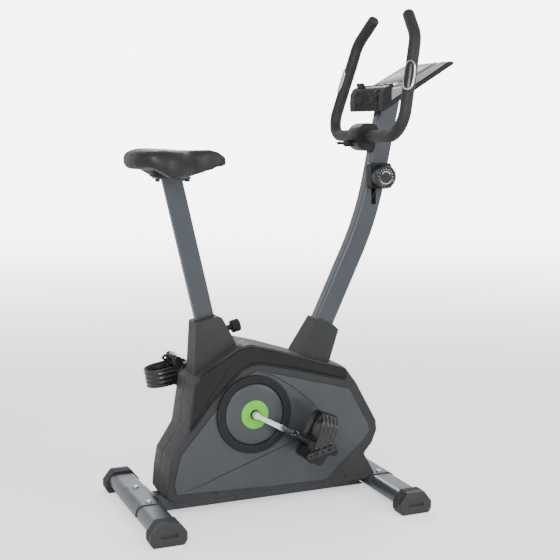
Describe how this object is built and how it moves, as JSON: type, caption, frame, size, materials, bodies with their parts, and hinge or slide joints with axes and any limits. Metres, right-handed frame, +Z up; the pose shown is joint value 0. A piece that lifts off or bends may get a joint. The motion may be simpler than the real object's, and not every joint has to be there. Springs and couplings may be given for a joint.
{
  "type": "exercise bike",
  "caption": "Upright exercise bike: steel frame on two stabilisers, cased belt-driven magnetic flywheel, sliding saddle post, tilting foam-covered handlebar and tilted console",
  "frame": {"origin": "on the floor, under the middle of the whole bike's bounding box", "axes": "+X the way the rider faces, +Y to the rider's left, +Z up"},
  "size_m": [0.958, 0.575, 1.3965],
  "materials": {
    "frame_grey": "metallic grey powder coat",
    "stabiliser_silver": "metallic silver-grey powder coat",
    "black_plastic": "fine textured black moulding",
    "charcoal_plastic": "satin charcoal moulding",
    "panel_grey": "satin blue-grey moulding",
    "cap_grey": "matt dark grey moulding",
    "green_accent": "gloss green moulding",
    "chrome_steel": "bright plating",
    "zinc_steel": "zinc plated",
    "cast_iron": "machined and painted",
    "foam": "closed-cell foam",
    "saddle_cover": "black leatherette over foam",
    "belt_rubber": "ribbed belt",
    "silver_plastic": "silver-grey painted moulding",
    "lens": "printed overlay, plain"
  },
  "bodies": {
    "root": {"base_tube": "stabiliser_silver", "bearings": "zinc_steel", "belt": "belt_rubber", "brake_pivot": "zinc_steel", "casing_screws": "zinc_steel", "clamp_cap": "zinc_steel", "clamp_cover": "black_plastic", "console_body": "silver_plastic", "console_lens": "lens", "console_tray": "charcoal_plastic", "cover_rings": "charcoal_plastic", "crank_covers": "panel_grey", "flywheel_plates": "frame_grey", "frame_bolts": "zinc_steel", "front_end_caps": "cap_grey", "front_stabiliser": "stabiliser_silver", "handlebar_post": "frame_grey", "hub_discs": "green_accent", "idler_arm": "zinc_steel", "left_casing": "charcoal_plastic", "left_side_panel": "panel_grey", "left_trim": "black_plastic", "post_boot": "black_plastic", "post_socket": "frame_grey", "rear_end_caps": "cap_grey", "rear_stabiliser": "stabiliser_silver", "right_casing": "charcoal_plastic", "right_side_panel": "panel_grey", "right_trim": "black_plastic", "seat_boot": "black_plastic", "seat_bush": "black_plastic", "seat_tube": "frame_grey", "tension_cable": "foam", "tension_housing": "black_plastic"},
    "seat_slider": {"seat_post": "frame_grey", "saddle_pan": "black_plastic", "saddle": "saddle_cover", "saddle_nuts": "zinc_steel"},
    "height_pin": {"height_knob": "black_plastic"},
    "handlebar": {"handlebar_tube": "frame_grey", "left_grip": "foam", "right_grip": "foam", "pulse_sensors": "chrome_steel"},
    "wing": {"wing_screw": "black_plastic"},
    "dial": {"tension_dial": "black_plastic"},
    "brake": {"magnet_bracket": "zinc_steel", "brake_magnets": "zinc_steel"},
    "crankset": {"crank": "chrome_steel", "crank_pulley": "black_plastic", "pedal_spindles": "zinc_steel"},
    "left_pedal_body": {"left_pedal": "black_plastic", "left_pedal_strap": "foam"},
    "right_pedal_body": {"right_pedal": "black_plastic", "right_pedal_strap": "foam"},
    "flywheel_rotor": {"flywheel": "cast_iron", "flywheel_pulley": "zinc_steel"},
    "idler": {"idler_roller": "black_plastic"},
    "mode_key": {"mode_button": "silver_plastic"},
    "set_key": {"set_button": "silver_plastic"},
    "reset_key": {"reset_button": "silver_plastic"}
  },
  "joints": [
    {"name": "saddle_height", "type": "slide", "parent": "root", "child": "seat_slider", "axis": [-0.2284, 0, 0.9736], "range_m": [-0.25, 0.025]},
    {"name": "height_pin_pull", "type": "slide", "parent": "root", "child": "height_pin", "axis": [0.9736, 0, 0.2284], "range_m": [0, 0.012], "stiffness_N_per_m": 900, "springref_m": -0.004},
    {"name": "handlebar_tilt", "type": "hinge", "parent": "root", "child": "handlebar", "pos_m": [0.245, 0, 1.045], "axis": [0, 1, 0], "range_deg": [-15, 15]},
    {"name": "wing_turn", "type": "hinge", "parent": "root", "child": "wing", "pos_m": [0.245, 0, 1.0243], "axis": [-1, 0, 0], "continuous": true},
    {"name": "tension_turn", "type": "hinge", "parent": "root", "child": "dial", "pos_m": [0.27955, -0.06, 0.93], "axis": [0, -1, 0], "range_deg": [0, 270]},
    {"name": "brake_swing", "type": "hinge", "parent": "root", "child": "brake", "pos_m": [0.076, 0, 0.326], "axis": [0, -1, 0], "range_deg": [0, 7.2]},
    {"name": "crank_spin", "type": "hinge", "parent": "root", "child": "crankset", "pos_m": [-0.127, 0, 0.277], "axis": [0, 1, 0], "continuous": true},
    {"name": "left_pedal_spin", "type": "hinge", "parent": "crankset", "child": "left_pedal_body", "pos_m": [-0.27394, 0.16, 0.35845], "axis": [0, 1, 0], "continuous": true},
    {"name": "right_pedal_spin", "type": "hinge", "parent": "crankset", "child": "right_pedal_body", "pos_m": [0.01994, -0.16, 0.19555], "axis": [0, 1, 0], "continuous": true},
    {"name": "flywheel_spin", "type": "hinge", "parent": "root", "child": "flywheel_rotor", "pos_m": [0.135, 0, 0.185], "axis": [0, 1, 0], "continuous": true},
    {"name": "idler_spin", "type": "hinge", "parent": "root", "child": "idler", "pos_m": [0.023, 0.048, 0.15922], "axis": [0, 1, 0], "continuous": true},
    {"name": "mode_press", "type": "slide", "parent": "root", "child": "mode_key", "axis": [0.4878, 0, -0.8729], "range_m": [0, 0.0012], "stiffness_N_per_m": 600, "springref_m": -0.0004},
    {"name": "set_press", "type": "slide", "parent": "root", "child": "set_key", "axis": [0.4878, 0, -0.8729], "range_m": [0, 0.0012], "stiffness_N_per_m": 600, "springref_m": -0.0004},
    {"name": "reset_press", "type": "slide", "parent": "root", "child": "reset_key", "axis": [0.4878, 0, -0.8729], "range_m": [0, 0.0012], "stiffness_N_per_m": 600, "springref_m": -0.0004}
  ],
  "couplings": [
    {"joint": "flywheel_spin", "follows": "crank_spin", "ratio": 8},
    {"joint": "idler_spin", "follows": "crank_spin", "ratio": -8.3333},
    {"joint": "brake_swing", "follows": "tension_turn", "ratio": 0.025926}
  ]
}
